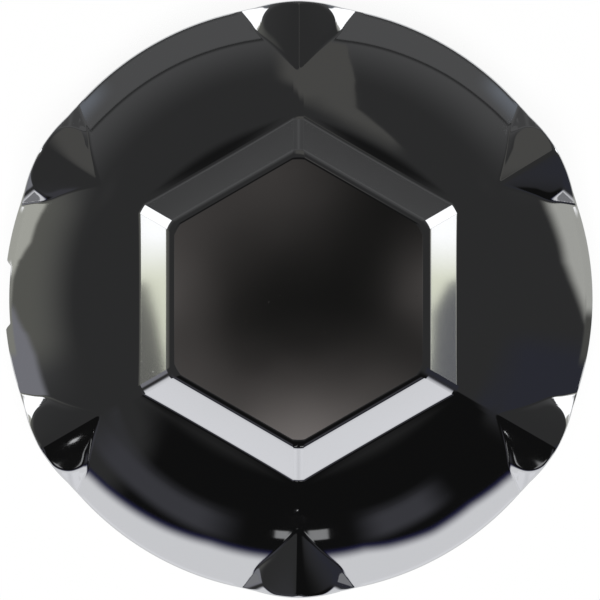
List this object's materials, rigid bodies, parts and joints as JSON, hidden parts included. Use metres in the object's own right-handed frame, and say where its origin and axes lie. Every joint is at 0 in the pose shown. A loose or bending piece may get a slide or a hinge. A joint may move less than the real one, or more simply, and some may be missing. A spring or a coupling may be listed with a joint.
{
  "type": "wheel centre cap",
  "caption": "Push-in wheel centre cap: a plated domed disc with a raised hexagon, darts that run out to the rim, a pry slot, snap fingers behind and a spring band that spreads them.",
  "frame": {"origin": "on the wheel's axis, in the plane of the rim's back face that seats on the wheel", "axes": "+Z along the wheel's axis out of the front face, +X to the right and +Y up as seen from the front, with the pry slot at -X"},
  "size_m": [0.1297, 0.131, 0.0336],
  "materials": {
    "plated_plastic": "bright chrome plating over a plastic moulding",
    "spring_steel": "rolled spring steel strip, dull zinc"
  },
  "bodies": {
    "root": {"cap_shell": "plated_plastic", "retaining_ring": "spring_steel"}
  },
  "joints": []
}
